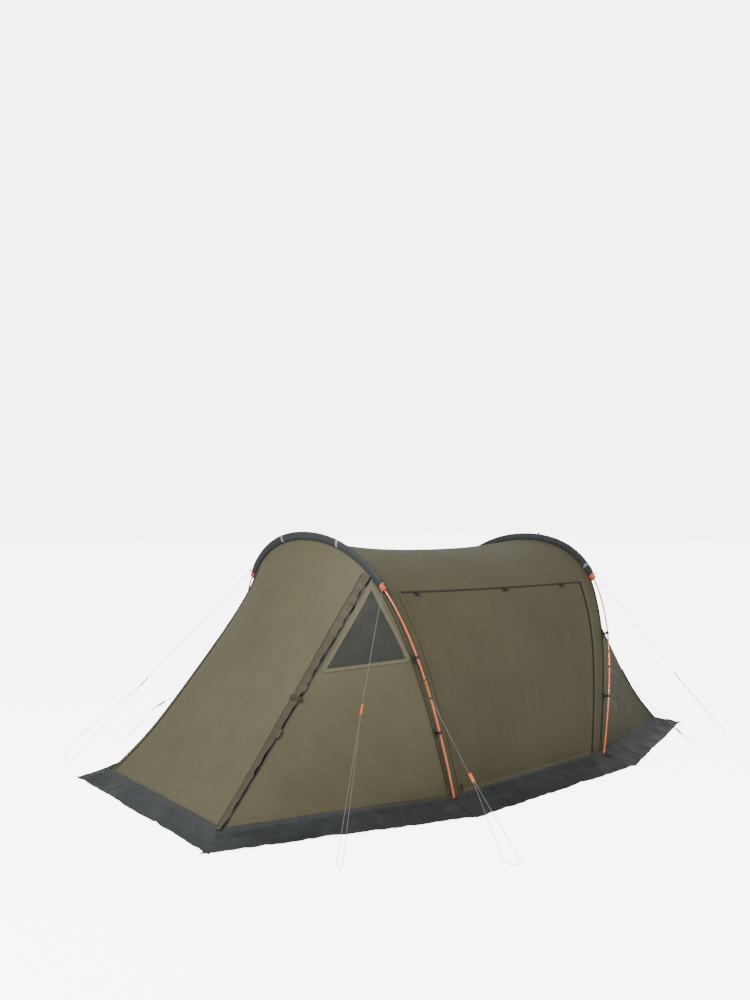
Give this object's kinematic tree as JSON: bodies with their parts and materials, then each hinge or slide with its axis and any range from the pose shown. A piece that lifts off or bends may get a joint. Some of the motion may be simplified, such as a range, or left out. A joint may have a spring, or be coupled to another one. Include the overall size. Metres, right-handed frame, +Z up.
{
  "type": "tunnel tent",
  "caption": "Tunnel tent on two bowed poles, with sloping end bays, zipped front and side doors, mesh windows, ground skirt and guy lines",
  "frame": {"origin": "on the ground under the middle of the tent's body and skirt", "axes": "+Z up, +X along the tunnel from the front bay with the large door to the rear bay, -Y the near side with the side door that is seen first"},
  "size_m": [3.6243, 2.9731, 1.275],
  "materials": {
    "outer_fabric": "olive green coated polyester, fine plain weave, soft sheen",
    "window_mesh": "black fine mesh",
    "skirt_fabric": "dark grey wrinkled coated fabric",
    "sleeve_fabric": "dark grey woven pole sleeve",
    "pole_glassfibre": "orange wrapped glass fibre rod with dull metal ferrules",
    "clip_plastic": "black moulded hook on black webbing",
    "runner_plastic": "orange moulded plastic",
    "guy_cord": "thin braided grey cord"
  },
  "bodies": {
    "tent": {"roof_and_sides": "outer_fabric", "front_cap": "outer_fabric", "front_wall_near": "outer_fabric", "front_wall_far": "outer_fabric", "rear_wall_near": "outer_fabric", "rear_wall_far": "outer_fabric", "rear_panel": "outer_fabric", "window_near": "window_mesh", "window_far": "window_mesh", "skirt_near_front": "skirt_fabric", "skirt_near_side": "skirt_fabric", "skirt_near_rear": "skirt_fabric", "skirt_rear": "skirt_fabric", "skirt_far_rear": "skirt_fabric", "skirt_far_side": "skirt_fabric", "skirt_far_front": "skirt_fabric", "skirt_front": "skirt_fabric", "sleeve_front": "sleeve_fabric", "sleeve_rear": "sleeve_fabric", "pole_front_1": "pole_glassfibre", "pole_front_2": "pole_glassfibre", "pole_front_3": "pole_glassfibre", "pole_front_4": "pole_glassfibre", "pole_front_5": "pole_glassfibre", "pole_front_6": "pole_glassfibre", "pole_rear_1": "pole_glassfibre", "pole_rear_2": "pole_glassfibre", "pole_rear_3": "pole_glassfibre", "pole_rear_4": "pole_glassfibre", "pole_rear_5": "pole_glassfibre", "pole_rear_6": "pole_glassfibre", "clip_front_near_low": "clip_plastic", "clip_front_near_high": "clip_plastic", "clip_front_far_low": "clip_plastic", "clip_front_far_high": "clip_plastic", "clip_rear_near_low": "clip_plastic", "clip_rear_near_high": "clip_plastic", "clip_rear_far_low": "clip_plastic", "clip_rear_far_high": "clip_plastic", "guy_line_front_near_upper": "guy_cord", "guy_line_front_near_lower": "guy_cord", "guy_line_front_far_upper": "guy_cord", "guy_line_front_far_lower": "guy_cord", "guy_line_rear_near_upper": "guy_cord", "guy_line_rear_near_lower": "guy_cord"},
    "front_door": {"front_door": "outer_fabric"},
    "side_door_near": {"side_door_near": "outer_fabric"},
    "side_door_far": {"side_door_far": "outer_fabric"},
    "runner_front_near_upper": {"runner_front_near_upper": "runner_plastic"},
    "runner_front_near_lower": {"runner_front_near_lower": "runner_plastic"},
    "runner_front_far_upper": {"runner_front_far_upper": "runner_plastic"},
    "runner_front_far_lower": {"runner_front_far_lower": "runner_plastic"},
    "runner_rear_near_upper": {"runner_rear_near_upper": "runner_plastic"},
    "runner_rear_near_lower": {"runner_rear_near_lower": "runner_plastic"}
  },
  "joints": [
    {"name": "front_door_lift", "type": "hinge", "parent": "tent", "child": "front_door", "pos_m": [-0.78648, 0, 0.95182], "axis": [0, 1, 0], "range_deg": [0, 65]},
    {"name": "side_door_near_lift", "type": "hinge", "parent": "tent", "child": "side_door_near", "pos_m": [-0.59072, -0.5585, 0.99326], "axis": [-0.9998, -0.0002, 0.019], "range_deg": [0, 85]},
    {"name": "side_door_far_lift", "type": "hinge", "parent": "tent", "child": "side_door_far", "pos_m": [-0.59072, 0.5585, 0.99326], "axis": [0.9998, -0.0002, -0.019], "range_deg": [0, 85]},
    {"name": "runner_front_near_upper_slide", "type": "slide", "parent": "tent", "child": "runner_front_near_upper", "axis": [0.5036, 0.356, 0.7872], "range_m": [0, 0.3]},
    {"name": "runner_front_near_lower_slide", "type": "slide", "parent": "tent", "child": "runner_front_near_lower", "axis": [0.2732, 0.7965, 0.5394], "range_m": [0, 0.2]},
    {"name": "runner_front_far_upper_slide", "type": "slide", "parent": "tent", "child": "runner_front_far_upper", "axis": [0.6274, -0.3318, 0.7045], "range_m": [0, 0.3]},
    {"name": "runner_front_far_lower_slide", "type": "slide", "parent": "tent", "child": "runner_front_far_lower", "axis": [0.6498, -0.5738, 0.4986], "range_m": [0, 0.3]},
    {"name": "runner_rear_near_upper_slide", "type": "slide", "parent": "tent", "child": "runner_rear_near_upper", "axis": [-0.5579, 0.3577, 0.7489], "range_m": [0, 0.3]},
    {"name": "runner_rear_near_lower_slide", "type": "slide", "parent": "tent", "child": "runner_rear_near_lower", "axis": [-0.6637, 0.3756, 0.6469], "range_m": [0, 0.3]}
  ]
}
